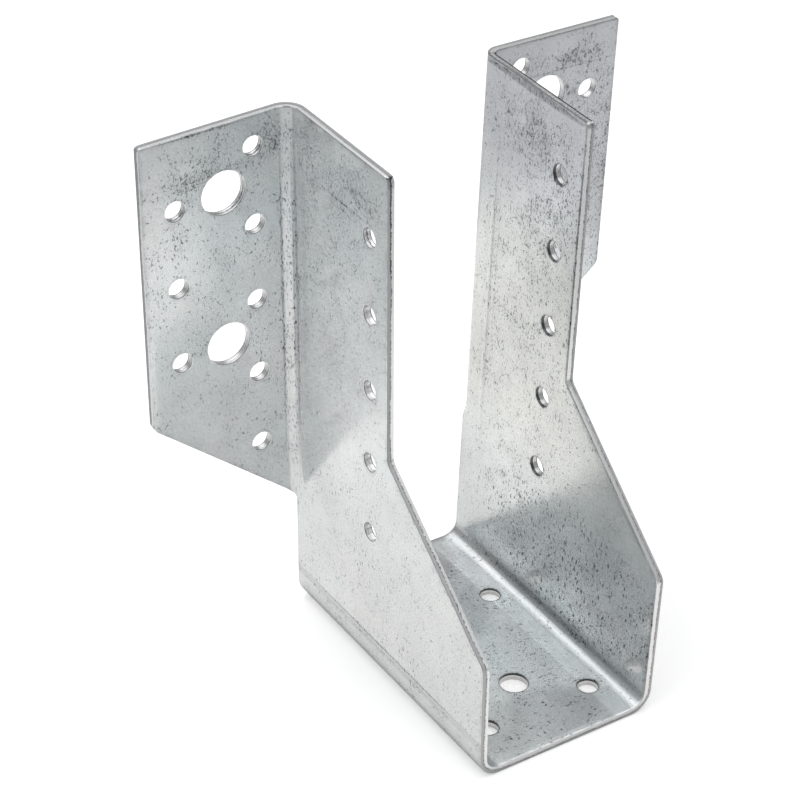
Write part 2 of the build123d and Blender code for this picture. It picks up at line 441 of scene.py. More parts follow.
# A Map Range node with this setting goes softly from one value to the other
SOFT = dict(interpolation_type="SMOOTHSTEP")


def srgb(code):
    """A linear colour from an sRGB hex value."""
    parts = [int(code[k:k + 2], 16) / 255 for k in (0, 2, 4)]
    linear = [p / 12.92 if p <= 0.04045 else ((p + 0.055) / 1.055) ** 2.4 for p in parts]
    return (*linear, 1.0)


def add(tree, kind, *inputs, named=(), output=0, **settings):
    """Adds a node and returns one output. The kind is a node's type, or in capitals a Math operation."""
    node = tree.nodes.new("ShaderNodeMath" if kind.isupper() else kind)
    if kind.isupper():
        node.operation = kind
    for key, value in settings.items():
        setattr(node, key, value)
    for key, value in [*enumerate(inputs), *dict(named).items()]:
        if isinstance(value, bpy.types.NodeSocket):
            tree.links.new(value, node.inputs[key])
        elif value is not None:
            node.inputs[key].default_value = value
    return None if output is None else node.outputs[output]


# %% [markdown]
# ## Where the marks are
# Every mark is placed on the flat blank, in millimetres, as an ellipse that is full in its middle
# and fades out. The press leaves a rub line beside each bend, where the shoulder of the die slid,
# and some dark lines in the same table are painted shade: on the floor bend and beside the right
# wall's front and top edges. Broad tones darken or brighten the zinc where the coat is a little
# duller or brighter, and some of them are painted light instead: the floor bend's highlight and its
# dark band, the floor's bright front lip, the right wall's dark front edge and a dark line on the
# left flange's bend. Handling leaves scuffs and nicks mostly towards the tops of the flanges and on
# the inside of the right wall, and the oxide film has a tint of its own in a few places. The outer
# face is the one that ends up in front on the flanges; the joist face is the inside of the channel.

# %% Places that the marks start from
OUTER, JOIST = -1, 1
FACE_GAP = 30.0
LEFT, RIGHT = SIDES["left"], SIDES["right"]
LEFT_BEND, RIGHT_BEND = LEFT["fold_v"], RIGHT["fold_v"]
BEND_TOP = -flat_u(LEFT, 90.0)
# A half length that is longer than the strip is deep, for marks that run right across it
ALL_ALONG = 400.0
print("the bends lie at v", round(LEFT_BEND, 2), "and", round(RIGHT_BEND, 2), "mm")

# %% Rub lines and painted shade lines
# Face, middle u, middle v, half length in u, half length in v, full share of it, strength
RUB_AND_SHADE_LINES = [
    (OUTER, -flat_u(LEFT, 125.0), 16.0, 0.25, 17.0, 0.5, 0.3),
    (OUTER, flat_u(RIGHT, 128.8), 63.0, 0.3, 20.0, 0.5, 0.9),
    (OUTER, -flat_u(LEFT, 10.4), 0.0, 0.35, 38.5, 0.5, 1.3),
    (OUTER, -flat_u(LEFT, 8.6), 0.0, 0.9, 38.5, 0.5, 0.35),
    (OUTER, -flat_u(LEFT, 139.2), 62.0, 0.35, 13.0, 0.5, 1.1),
    (OUTER, BEND_TOP, LEFT_BEND + 2.9, 56.0, 0.45, 0.4, 0.9),
    (OUTER, BEND_TOP, LEFT_BEND + 6.3, 56.0, 0.55, 0.4, 1.1),
    (OUTER, flat_u(RIGHT, 92.0), RIGHT_BEND + 0.4, 50.0, 1.0, 0.4, 0.6),
    (JOIST, flat_u(RIGHT, 82.0), 31.6, 48.0, 0.45, 0.3, 0.6),
    (JOIST, flat_u(RIGHT, 82.0), 29.6, 46.0, 0.35, 0.3, 0.4),
    (JOIST, flat_u(RIGHT, 82.0), 36.6, 52.0, 3.0, 0.7, -0.2),
    # Partly a rub line, partly painted shade of the drawn top edge: the dark band under the right wall's
    # top
    (JOIST, flat_u(RIGHT, 137.4), 20.0, 1.1, 21.0, 0.75, 1.1),
    # Painted shade: the dark line beside the right wall's front edge, on the joist face
    (JOIST, flat_u(RIGHT, 104.0), UPPER_FRONT_V + 0.5, 36.0, 0.5, 0.5, 0.5),
    # Painted shade: the dark band on the floor bend, beside the wall
    (JOIST, FLOOR_HALF + 5.2, 0.0, 1.6, 42.0, 0.4, 0.9),
    (JOIST, 14.5, 0.0, 0.2, 39.0, 0.6, -1.3),
]

# %% Broad tones and painted light
# The same columns: a strength above 0 darkens the zinc, and one below it brightens it
TONES_AND_PAINTED_LIGHT = [
    (OUTER, -flat_u(LEFT, 125.0), 16.0, 0.35, 19.0, 0.5, 0.13),
    (JOIST, -5.6, 0.0, 20.0, ALL_ALONG, 0.97, 0.1),
    # Partly a burnished strip, partly a painted soft flank of the floor bend's highlight
    (JOIST, 18.0, 0.0, 3.6, ALL_ALONG, 0.9, -0.11),
    (JOIST, 2.0, 24.0, 14.0, 26.0, 0.75, 0.22),
    (JOIST, -3.0, -31.0, 22.0, 12.0, 0.6, 0.25),
    # Painted shade and painted highlight that move the floor bend's highlight up the bend
    (JOIST, FLOOR_HALF + 0.7, 0.0, 1.3, ALL_ALONG, 0.3, 0.08),
    (JOIST, FLOOR_HALF + 2.6, 0.0, 0.9, ALL_ALONG, 0.3, -0.05),
    # Painted highlight along the floor's front lip
    (JOIST, 0.0, FRONT_V + 0.4, 19.0, 1.3, 0.2, -0.3),
    # Painted shade: the dark band on the floor bend, beside the wall
    (JOIST, FLOOR_HALF + 5.6, 0.0, 1.3, ALL_ALONG, 0.5, 0.24),
    (JOIST, flat_u(RIGHT, 38.0), 14.0, 34.0, 34.0, 0.3, -0.2),
    (JOIST, flat_u(RIGHT, 84.0), 14.0, 36.0, 34.0, 0.3, -0.07),
    # Partly rubbing, partly painted shade of the drawn top edge: the dark band under the right wall's top
    (JOIST, flat_u(RIGHT, 137.6), 20.0, 0.9, 24.0, 0.7, 0.15),
    # Painted shade: the dark line beside the right wall's front edge
    (JOIST, flat_u(RIGHT, 104.0), UPPER_FRONT_V + 0.35, 36.0, 0.35, 0.5, 0.4),
    (JOIST, flat_u(RIGHT, 72.0), 31.4, 52.0, 0.95, 0.5, 0.11),
    (JOIST, flat_u(RIGHT, 72.0), 32.7, 52.0, 0.5, 0.5, -0.08),
    (OUTER, flat_u(RIGHT, 104.0), 66.0, 60.0, 30.0, 0.2, -0.15),
    (OUTER, -flat_u(LEFT, 98.0), LEFT["tip_v"] - 4.0, 24.0, 9.0, 0.2, -0.1),
    (OUTER, -flat_u(LEFT, 4.0), 0.0, 5.6, ALL_ALONG, 0.9, 0.06),
    (OUTER, -flat_u(LEFT, 9.8), 0.0, 1.3, ALL_ALONG, 0.6, 0.15),
    (OUTER, -flat_u(LEFT, 84.0), 14.0, 48.0, 26.0, 0.2, -0.2),
    (OUTER, -flat_u(LEFT, 30.0), 10.0, 24.0, 30.0, 0.2, 0.03),
    # Painted shade: a dark line on the left flange's bend, over the bend's bright reflection
    (OUTER, BEND_TOP, LEFT_BEND + 2.0, 58.0, 1.2, 0.4, 0.4),
]

# %% Scuffed patches
# The same, but with two strengths: how scuffed the patch is, and the share of nicks in it
SMUDGES = [
    (OUTER, -flat_u(LEFT, 130.0), 60.0, 9.0, 22.0, 0.1, 0.95, 0.04),
    (OUTER, -flat_u(LEFT, 131.0), 45.0, 10.0, 6.0, 0.1, 0.9, 0.04),
    (OUTER, BEND_TOP, LEFT_BEND + 3.5, 62.0, 3.5, 0.7, 0.45, 0.06),
    (OUTER, -flat_u(LEFT, 120.0), 68.0, 16.0, 8.0, 0.1, 0.5, 0.05),
    (OUTER, -flat_u(LEFT, 129.0), 14.0, 8.0, 20.0, 0.1, 0.8, 0.08),
    (OUTER, -flat_u(LEFT, 124.0), 31.0, 24.0, 6.0, 0.1, 0.75, 0.05),
    (OUTER, -flat_u(LEFT, 90.0), 20.0, 30.0, 5.0, 0.1, 0.35, 0.03),
    (OUTER, -flat_u(LEFT, 106.0), 14.0, 44.0, 24.0, 0.1, 0.35, 0.02),
    (OUTER, -flat_u(LEFT, 94.0), 62.0, 46.0, 28.0, 0.1, 0.12, 0.0),
    (OUTER, flat_u(RIGHT, 131.5), 62.0, 3.5, 22.0, 0.1, 1.2, 0.15),
    (OUTER, flat_u(RIGHT, 104.0), 66.0, 40.0, 20.0, 0.4, 0.75, 0.4),
    (JOIST, flat_u(RIGHT, 128.0), 20.0, 12.0, 26.0, 0.1, 0.9, 0.22),
    (JOIST, flat_u(RIGHT, 110.0), 8.0, 24.0, 16.0, 0.1, 0.7, 0.18),
    (JOIST, flat_u(RIGHT, 76.0), 16.0, 80.0, 32.0, 0.1, 0.5, 0.16),
    (JOIST, flat_u(RIGHT, 21.0), -10.0, 21.0, 50.0, 0.6, 0.35, 0.48),
    (JOIST, 0.0, 0.0, 19.0, 60.0, 0.8, 0.14, 0.04),
]

# %% Tints of the film
# The same, with the colour of the film there: bluish towards the top, and warmer below it
TINTS = [
    (JOIST, flat_u(RIGHT, 138.0), 20.0, 38.0, 50.0, 0.3, "DBDDE1"),
    (OUTER, flat_u(RIGHT, 110.0), 62.0, 50.0, 50.0, 0.6, "DBDDE0"),
    (JOIST, flat_u(RIGHT, 72.0), 12.0, 42.0, 80.0, 0.5, "DDDFDD"),
]
print("marks placed by hand:", len(RUB_AND_SHADE_LINES + TONES_AND_PAINTED_LIGHT + SMUDGES + TINTS))

# %% Masks of the marks
def mark_mask(tree, place, face, u, v, half_u, half_v, full):
    """1 inside a mark on the blank and 0 outside it; full is the share of its size that is 1."""
    size = (1 / half_u, 1 / half_v, 1.0)
    centre = (-u / half_u, -v / half_v, -face * FACE_GAP)
    near = add(tree, "ShaderNodeVectorMath", place, size, centre, operation="MULTIPLY_ADD")
    far = add(tree, "ShaderNodeVectorMath", near, operation="LENGTH", output=1)
    return add(tree, "ShaderNodeMapRange", far, full, 1.0, 1.0, 0.0, **SOFT)


def total(tree, masks):
    """The sum of the masks, each times its strength."""
    result = 0.0
    for mask, strength in masks:
        result = add(tree, "MULTIPLY_ADD", mask, strength, result)
    return result


def total_of_marks(tree, place, table):
    """The sum of the marks in a table, each times its strength."""
    return total(tree, [(mark_mask(tree, place, *mark[:6]), mark[6]) for mark in table])


# %% [markdown]
# ## Scuffs and nicks
# Seen close, the zinc carries two kinds of small dark marks. Scuffs are curved dashes about 1 mm
# long and 0.25 mm wide, drawn out along the strip. They are the level lines of one noise, broken up
# by a second one, which is cheaper than drawing dashes and never repeats. Nicks are single deeper
# pecks, about 0.9 mm by 0.45 mm, one in each cell of a warped Voronoi pattern, and a cell has one
# only when its random value is below the share of nicks there.

# %% Scuffs and nicks
SCUFF_MM, SCUFF_BREAK_MM, NICK_CELL_MM, NICK_WARP_MM = 0.8, 0.6, 0.9, 2.5
SCUFF_STRETCH, NICK_STRETCH, NICK_WARP = (0.6, 1.0, 1.0), (0.65, 0.8, 1.0), (1.6, 1.6, 0.0)
MOST_NICKS = 0.6


def handling_marks(tree, place, stain, smudge, nicked):
    """How scuffed or nicked each point is, and the noise that breaks up the scuffs."""
    drawn = add(tree, "ShaderNodeVectorMath", place, SCUFF_STRETCH, operation="MULTIPLY")
    wander = add(tree, "ShaderNodeTexNoise", named={"Vector": drawn, "Scale": 1 / SCUFF_MM, "Detail": 1.5})
    broken = add(tree, "ShaderNodeTexNoise",
                 named={"Vector": drawn, "Scale": 1 / SCUFF_BREAK_MM, "Detail": 2.0})
    level = add(tree, "ABSOLUTE", add(tree, "SUBTRACT", wander, 0.5))
    line = add(tree, "ShaderNodeMapRange", level, 0.025, 0.06, 1.0, 0.0, **SOFT)
    density = add(tree, "MULTIPLY_ADD", smudge, 0.13, add(tree, "MULTIPLY_ADD", stain, 0.4, -0.225))
    piece = add(tree, "ShaderNodeMapRange", add(tree, "ADD", broken, density), 0.56, 0.63, 0.0, 1.0)

    warp = add(tree, "ShaderNodeTexNoise", output=1,
               named={"Vector": place, "Scale": 1 / NICK_WARP_MM, "Detail": 1.0})
    bent = add(tree, "ShaderNodeVectorMath", warp, NICK_WARP, drawn, operation="MULTIPLY_ADD")
    cell_place = add(tree, "ShaderNodeVectorMath", bent, NICK_STRETCH, operation="MULTIPLY")
    cells = add(tree, "ShaderNodeTexVoronoi", voronoi_dimensions="2D",
                named={"Vector": cell_place, "Scale": 1 / NICK_CELL_MM})
    chance = add(tree, "ShaderNodeSeparateXYZ", cells.node.outputs["Color"])
    share = add(tree, "ADD", nicked, add(tree, "MULTIPLY_ADD", stain, 0.9, -0.53))
    chosen = add(tree, "LESS_THAN", chance, add(tree, "MINIMUM", share, MOST_NICKS))
    nick = add(tree, "MULTIPLY", chosen, add(tree, "ShaderNodeMapRange", cells, 0.15, 0.24, 1.0, 0.0))
    depth = add(tree, "ShaderNodeMapRange", nicked, 0.0, 0.5, 0.75, 1.3)
    scuffed = add(tree, "MULTIPLY", line, piece)
    return add(tree, "MAXIMUM", scuffed, add(tree, "MULTIPLY", nick, depth)), broken


# %% [markdown]
# ## The shaders' start and end
# Both metals read where a point lies on the blank and how it lies to the nearest cut, from the
# mesh's own attributes, because those stay with the sheet when it is folded. Both end in the same
# three links and a value for how metallic they are.

# %% Read the blank, and finish a metal
def read_parts(tree, attribute):
    """An attribute of the mesh as a vector, and its three parts."""
    vector = add(tree, "ShaderNodeAttribute", attribute_name=attribute, output=1)
    return vector, *add(tree, "ShaderNodeSeparateXYZ", vector).node.outputs


def new_metal(name):
    """A new material and its node tree."""
    material = bpy.data.materials.new(name)
    material.use_nodes = True
    return material, material.node_tree


def finish_metal(tree, colour, metallic, rough, height, strength, bump_mm):
    """Gives the shader its colour, its roughness and its bumps."""
    normal = add(tree, "ShaderNodeBump",
                 named={"Strength": strength, "Distance": bump_mm * MM, "Height": height})
    shader = tree.nodes["Principled BSDF"]
    for name, value in {"Base Color": colour, "Roughness": rough, "Normal": normal}.items():
        tree.links.new(value, shader.inputs[name])
    shader.inputs["Metallic"].default_value = metallic


# %% [markdown]
# ## The galvanised sheet
# The zinc is a light grey metal, part mirror and part haze, so it is not fully metallic here: the
# film of oxide scatters light as paint does. All dark marks are added up to one number, which mixes
# the clean colour towards a dark grey. The film is cloudy over about 14 mm and 20 mm, with stains
# of 4 mm. The real grain of the zinc is finer than a pixel, so it is drawn 0.4 mm coarse to show.
# Shallow waves of 9 mm and an orange peel of 1.2 mm break its reflections.

# %% How dark and how rough the zinc is
CLOUD_MM, STAIN_MM, GRAIN_MM = 14, 4, 0.4
BEND_MIDDLE, BEND_HALF = FLOOR_HALF + 3.5, 5.0


def zinc_darkness(tree, place, face, from_cut, by_hole):
    """How dark each point is, how rough, and how scuffed."""
    cloud = add(tree, "ShaderNodeTexNoise", named={"Vector": place, "Scale": 1 / CLOUD_MM, "Detail": 3.0})
    stain = add(tree, "ShaderNodeTexNoise",
                named={"Vector": place, "Scale": 1 / STAIN_MM, "Detail": 3.0, "Roughness": 0.6})
    grain = add(tree, "ShaderNodeTexNoise",
                named={"Vector": place, "Scale": 1 / GRAIN_MM, "Detail": 2.0, "Roughness": 0.7})
    patches = [mark_mask(tree, place, *patch[:6]) for patch in SMUDGES]
    smudge = total(tree, [(mask, patch[6]) for mask, patch in zip(patches, SMUDGES)])
    nicked = total(tree, [(mask, patch[7]) for mask, patch in zip(patches, SMUDGES)])
    scuff, broken = handling_marks(tree, place, stain, smudge, nicked)
    rub_and_shade = total_of_marks(tree, place, RUB_AND_SHADE_LINES)
    rubbed_and_shaded = add(tree, "MULTIPLY", rub_and_shade, add(tree, "MULTIPLY_ADD", broken, 2.6, -0.7, use_clamp=True))

    # The drawn edge is darker in an uneven band beside the cut: partly scuffs, partly painted shade of the
    # edge's curve
    near_cut = add(tree, "ShaderNodeMapRange", from_cut, 0.1, 1.3, 1.0, 0.0, **SOFT)
    uneven = add(tree, "MULTIPLY_ADD", stain, 2.4, -0.8, use_clamp=True)
    worn_and_shaded_edge = add(tree, "MULTIPLY", near_cut, uneven)
    # Each hole has a thin lip of painted shade on the joist face, and a painted glint of its burr on the
    # outer one
    at_cut = add(tree, "ShaderNodeMapRange", from_cut, 0.1, 0.3, 1.0, 0.0)
    hole_rim_shade_and_glint = add(tree, "MULTIPLY", by_hole, at_cut)
    shade_and_glint_strength = add(tree, "MULTIPLY_ADD", face, 0.4, 0.15)

    noises = [(cloud, 0.5, 0.22), (stain, 0.5, 0.14), (grain, 0.48, 0.55)]
    dark = total(tree, [
        (total_of_marks(tree, place, TONES_AND_PAINTED_LIGHT), 1.0), (rubbed_and_shaded, 0.45), (scuff, 0.6), (worn_and_shaded_edge, 0.3),
        (hole_rim_shade_and_glint, shade_and_glint_strength), (smudge, add(tree, "MULTIPLY_ADD", stain, 0.5, -0.2)),
        *((add(tree, "SUBTRACT", noise, middle), strength) for noise, middle, strength in noises),
    ])
    # Where the sheet is bent its coat is stretched and dull
    stretched = total(tree, [
        (mark_mask(tree, place, bent_face, u, 0.0, BEND_HALF, ALL_ALONG, 0.6), 1.0)
        for bent_face in (OUTER, JOIST) for u in (-BEND_MIDDLE, BEND_MIDDLE)
    ])
    hazy = add(tree, "MULTIPLY_ADD", cloud, 0.12, 0.12)
    rough = total(tree, [(hazy, 1.0), (add(tree, "ABSOLUTE", rub_and_shade), 0.08), (stretched, 0.12), (scuff, 0.25)])
    return dark, rough, scuff


# %% Galvanised sheet
FILM_MM, WAVE_MM, PEEL_MM = 20, 9, 1.2
ZINC_BLUISH, ZINC_NEUTRAL, ZINC_DARK = srgb("D9DEDF"), srgb("DDDFE0"), srgb("3A4145")
ZINC_METALLIC, ZINC_BUMP, ZINC_BUMP_MM = 0.62, 1.0, 0.012


def make_zinc():
    """Hot-dip galvanised cold-formed steel sheet: soft mirror, oxide haze, scuffs and rub lines."""
    material, tree = new_metal("hot_dip_galvanised_cold_formed_steel_sheet")
    _, u, v, t = read_parts(tree, "flat")
    _, from_cut, _, by_hole = read_parts(tree, "edge")
    face = add(tree, "SIGN", t)
    place = add(tree, "ShaderNodeCombineXYZ", u, v, add(tree, "MULTIPLY", face, FACE_GAP))
    dark, rough, scuff = zinc_darkness(tree, place, face, from_cut, by_hole)

    film = add(tree, "ShaderNodeTexNoise", named={"Vector": place, "Scale": 1 / FILM_MM, "Detail": 2.0})
    hue = add(tree, "ShaderNodeMapRange", film, 0.35, 0.65, 0.0, 1.0)
    clean = add(tree, "ShaderNodeMix", hue, named={FROM: ZINC_BLUISH, TO: ZINC_NEUTRAL}, **COLOUR_MIX)
    for *mark, code in TINTS:
        mask = mark_mask(tree, place, *mark)
        clean = add(tree, "ShaderNodeMix", mask, named={FROM: clean, TO: srgb(code)}, **COLOUR_MIX)
    colour = add(tree, "ShaderNodeMix", dark, clamp_factor=False,
                 named={FROM: clean, TO: ZINC_DARK}, **COLOUR_MIX)

    wave = add(tree, "ShaderNodeTexNoise", named={"Vector": place, "Scale": 1 / WAVE_MM, "Detail": 2.0})
    peel = add(tree, "ShaderNodeTexNoise", named={"Vector": place, "Scale": 1 / PEEL_MM, "Detail": 2.0})
    height = total(tree, [(peel, 1.0), (scuff, -1.0), (wave, 4.5)])
    finish_metal(tree, colour, ZINC_METALLIC, rough, height, ZINC_BUMP, ZINC_BUMP_MM)
    return material


zinc = make_zinc()
print("zinc:", len(zinc.node_tree.nodes), "nodes")

# %% [markdown]
# ## The cut edge
# A sheared edge of low-carbon steel is bright where the blade burnished it and grey where the rest
# tore away. The border between the two is ragged and wanders along the cut, and just at it the
# steel is pitted. The material follows the distance through the thickness, so the border is a
# noise added to that distance. Torn steel mirrors little, so it is dull and bumpy as well.

# %% How the cut tore
# The tear's ragged teeth, and how far apart its border rises and falls
TEAR_MM, DRIFT_MM = 0.6, 18


def torn_part(tree, blank, u, t, way, by_hole):
    """How torn each point is, how near it is to the deepest of the tear, and the tear's noise."""
    tear = add(tree, "ShaderNodeTexNoise",
               named={"Vector": blank, "Scale": 1 / TEAR_MM, "Detail": 3.0, "Roughness": 0.65})
    drift = add(tree, "ShaderNodeTexNoise", named={"Vector": blank, "Scale": 1 / DRIFT_MM, "Detail": 1.0})
    # The border lies deeper on the left of the strip
    depth_left = add(tree, "MULTIPLY_ADD", add(tree, "LESS_THAN", u, -FLOOR_HALF), 0.3, -1.15)
    border = add(tree, "MULTIPLY_ADD", drift, 0.9, add(tree, "MULTIPLY_ADD", tear, 0.9, depth_left))
    above = add(tree, "SUBTRACT", add(tree, "MULTIPLY", t, way), border)
    torn = add(tree, "ShaderNodeMapRange", above, -0.1, 0.12, 1.0, 0.0, **SOFT)
    torn = add(tree, "MULTIPLY", torn, add(tree, "MULTIPLY_ADD", by_hole, -0.75, 1.0))
    from_deepest = add(tree, "ABSOLUTE", add(tree, "ADD", above, 0.12))
    deepest = add(tree, "ShaderNodeMapRange", from_deepest, 0.0, 0.3, 1.0, 0.0, **SOFT)
    return torn, deepest, tear


# %% [markdown]
# ## Dark places on the cut
# Four places on the cuts are darker than the rest: the rims of the holes, whose darkness is painted
# shade of the hole's wall, the front corners of the wall tops, which are bruised, the top of the left
# wall's front cut, which is deeply torn, and the right wall's top end, which was cut with a blunt
# blade. Each is a mask on the blank, laid over the pits of the tear.

# %% Dark places
BRUISE, TOP_CUT = 1.3, 0.1
BLUNT_LINE_T, BLUNT_PAST_BEND = -0.68, 2.0
DEEP_TEAR_HEIGHT = 116.0


def pitted_and_shaded_part(tree, u, v, t, by_hole, notched, deepest, tear):
    """How dark each point of the cut is."""
    past_floor = add(tree, "GREATER_THAN", u, FLOOR_HALF)
    in_floor = add(tree, "LESS_THAN", add(tree, "ABSOLUTE", u), FLOOR_HALF)
    in_right_wall = add(tree, "MULTIPLY", past_floor, add(tree, "LESS_THAN", v, RIGHT_BEND))
    ragged = add(tree, "MULTIPLY_ADD", tear, 3.0, -1.1, use_clamp=True)
    pit_and_shade = add(tree, "MULTIPLY", deepest, ragged)
    pit_and_shade = add(tree, "MULTIPLY", pit_and_shade, add(tree, "MULTIPLY_ADD", by_hole, -0.7, notched))

    # The rims of the holes, painted shade of the hole's wall: deeper from the joist face in the floor
    # and the right wall, and not at the floor's underside
    upper = total(tree, [(t, 1.0), (in_right_wall, 0.55), (in_floor, 0.4)])
    lower = total(tree, [(in_floor, -1.0), (t, -1.0)])
    rim = add(tree, "ShaderNodeMapRange", add(tree, "MAXIMUM", upper, lower), 0.72, 0.86, 0.0, 1.0)
    rim = add(tree, "MULTIPLY_ADD", in_floor, 0.22, rim)
    pit_and_shade = add(tree, "MULTIPLY_ADD", add(tree, "MULTIPLY", rim, by_hole), 0.9, pit_and_shade, use_clamp=True)

    # The bruised corners
    right_top = flat_u(RIGHT, RIGHT["height"])
    in_top = add(tree, "GREATER_THAN", add(tree, "ABSOLUTE", u), right_top - BRUISE)
    bruised = add(tree, "MULTIPLY", in_top, add(tree, "LESS_THAN", v, UPPER_FRONT_V + BRUISE))
    pit_and_shade = add(tree, "MULTIPLY_ADD", bruised, 0.3, pit_and_shade, use_clamp=True)

    # The deep tear
    deep = add(tree, "MULTIPLY", deepest, add(tree, "LESS_THAN", u, -flat_u(LEFT, DEEP_TEAR_HEIGHT)))
    deep_ragged = add(tree, "MULTIPLY_ADD", tear, 3.0, -0.7, use_clamp=True)
    pit_and_shade = add(tree, "MULTIPLY_ADD", add(tree, "MULTIPLY", deep, notched), deep_ragged, pit_and_shade)

    # The blunt end cut, with a black line near the outer face
    end_cut = add(tree, "MULTIPLY", add(tree, "GREATER_THAN", u, right_top - TOP_CUT),
                  add(tree, "LESS_THAN", v, RIGHT_BEND + BLUNT_PAST_BEND))
    from_line = add(tree, "ABSOLUTE", add(tree, "SUBTRACT", t, BLUNT_LINE_T))
    black_line = add(tree, "ShaderNodeMapRange", from_line, 0.14, 0.3, 1.0, 0.0)
    blunt = add(tree, "MAXIMUM", black_line, add(tree, "MULTIPLY_ADD", tear, 1.0, -0.12))
    return add(tree, "MAXIMUM", pit_and_shade, add(tree, "MULTIPLY", end_cut, blunt))


# %% Cut steel
TORN_SHEARED, TORN_PUNCHED = srgb("A2A4A5"), srgb("B8BABB")
BURNISHED, PITTED_AND_SHADED = srgb("ECECED"), srgb("34373A")
STEEL_METALLIC, STEEL_BUMP, STEEL_BUMP_MM = 0.6, 0.6, 0.06


def make_cut_steel():
    """Sheared low-carbon steel edge: burnished where the punch entered, then torn, dark and rough."""
    material, tree = new_metal("sheared_low_carbon_steel_edge")
    blank, u, v, t = read_parts(tree, "flat")
    _, _, way, by_hole = read_parts(tree, "edge")
    notched = add(tree, "MULTIPLY_ADD", way, 0.5, 0.5)
    torn, deepest, tear = torn_part(tree, blank, u, t, way, by_hole)
    pit_and_shade = pitted_and_shaded_part(tree, u, v, t, by_hole, notched, deepest, tear)
    grey = add(tree, "ShaderNodeMix", notched, named={FROM: TORN_SHEARED, TO: TORN_PUNCHED}, **COLOUR_MIX)
    bare = add(tree, "ShaderNodeMix", torn, named={FROM: BURNISHED, TO: grey}, **COLOUR_MIX)
    colour = add(tree, "ShaderNodeMix", pit_and_shade, named={FROM: bare, TO: PITTED_AND_SHADED}, **COLOUR_MIX)
    rough = add(tree, "MULTIPLY_ADD", torn, 0.3, 0.25)
    height = add(tree, "MULTIPLY", tear, torn)
    finish_metal(tree, colour, STEEL_METALLIC, rough, height, STEEL_BUMP, STEEL_BUMP_MM)
    return material


cut_steel = make_cut_steel()
print("cut steel:", len(cut_steel.node_tree.nodes), "nodes")

# %% [markdown]
# ## Folding the blank
# A fold bends the sheet round a cylinder and leaves the rest straight, so it is a rule rather than
# a shape: past the fold line the point goes round the arc by its distance over the radius, and what
# is left of the distance carries on along the tangent. Geometry Nodes apply that rule twice to
# every point, first for the flange and then for the floor bend. Where the flange bend runs out at
# its foot, its curvature falls to nothing over a few millimetres, as the real sheet's does.

# %% The folding tree and its inputs
fold = bpy.data.node_groups.new("fold the punched blank", "GeometryNodeTree")
fold.interface.new_socket("Geometry", in_out="INPUT", socket_type="NodeSocketGeometry")
fold_inputs = {
    "Half floor": FLOOR_HALF, "Floor fold radius": FLOOR_FOLD, "Floor fold height": FLOOR_BEND_Z,
    "Run-out height": RUNOUT_HEIGHT, "Scale": MM,
}
for name, side in SIDES.items():
    fold_inputs[f"Lean {name}"] = side["lean"]
    fold_inputs[f"Flange fold radius {name}"] = side["fold"]
    fold_inputs[f"Flange fold line {name}"] = side["fold_v"]
    fold_inputs[f"Fold foot {name}"] = side["foot"]
for name in fold_inputs:
    fold.interface.new_socket(name, in_out="INPUT", socket_type="NodeSocketFloat")
fold.interface.new_socket("Geometry", in_out="OUTPUT", socket_type="NodeSocketGeometry")
given = fold.nodes.new("NodeGroupInput").outputs
print("inputs of the fold:", len(fold_inputs))

# %% The point on the blank, and the sizes of its side
# A Mix node set to single numbers takes them at these inputs
ON_RIGHT, ON_LEFT = 2, 3

position = add(fold, "GeometryNodeInputPosition")
flat_x, v, t = add(fold, "ShaderNodeSeparateXYZ", position).node.outputs
u = add(fold, "ABSOLUTE", flat_x)
on_left = add(fold, "LESS_THAN", flat_x, 0.0)
lean, flange_radius, fold_line, foot = (
    add(fold, "ShaderNodeMix", on_left, data_type="FLOAT",
        named={ON_RIGHT: given[f"{name} right"], ON_LEFT: given[f"{name} left"]})
    for name in ("Lean", "Flange fold radius", "Flange fold line", "Fold foot")
)

# %% The floor bend: its angle at this point, and the height reached up the wall
past_floor = add(fold, "SUBTRACT", u, given["Half floor"])
floor_radius = given["Floor fold radius"]
floor_arc = add(fold, "MULTIPLY", add(fold, "SUBTRACT", math.pi / 2, lean), floor_radius)
in_floor_arc = add(fold, "MINIMUM", add(fold, "MAXIMUM", past_floor, 0.0), floor_arc)
floor_angle = add(fold, "DIVIDE", in_floor_arc, floor_radius)
up_wall = add(fold, "MAXIMUM", add(fold, "SUBTRACT", past_floor, floor_arc), 0.0)
height = add(fold, "ADD", up_wall, given["Floor fold height"])

# %% The flange bend: its curvature at this height, then its angle at this point
# Where the sheet is flat this keeps its radius from being endless
LEAST_CURVATURE = 0.002

rise = add(fold, "DIVIDE", add(fold, "SUBTRACT", height, foot), given["Run-out height"])
ease = add(fold, "ShaderNodeFloatCurve", named={"Value": rise})
for share, bent, _ in RUNOUT_STEPS[1:-1]:
    ease.node.mapping.curves[0].points.new(share, bent)
ease.node.mapping.update()
curvature = add(fold, "DIVIDE", add(fold, "MAXIMUM", ease, LEAST_CURVATURE), flange_radius)
radius = add(fold, "DIVIDE", 1.0, curvature)
past_line = add(fold, "SUBTRACT", v, fold_line)
flange_arc = add(fold, "MULTIPLY", flange_radius, math.pi / 2)
in_arc = add(fold, "MINIMUM", add(fold, "MAXIMUM", past_line, 0.0), flange_arc)
angle = add(fold, "MULTIPLY", in_arc, curvature)
beyond = add(fold, "MAXIMUM", add(fold, "SUBTRACT", past_line, flange_arc), 0.0)
sine, cosine = add(fold, "SINE", angle), add(fold, "COSINE", angle)
straight = add(fold, "MULTIPLY_ADD", beyond, cosine, add(fold, "MINIMUM", v, fold_line))
back = add(fold, "MULTIPLY_ADD", add(fold, "ADD", radius, t), sine, straight)
along_flange = add(fold, "MULTIPLY", beyond, sine)
bulge = add(fold, "MULTIPLY_ADD", radius, add(fold, "SUBTRACT", 1.0, cosine), along_flange)
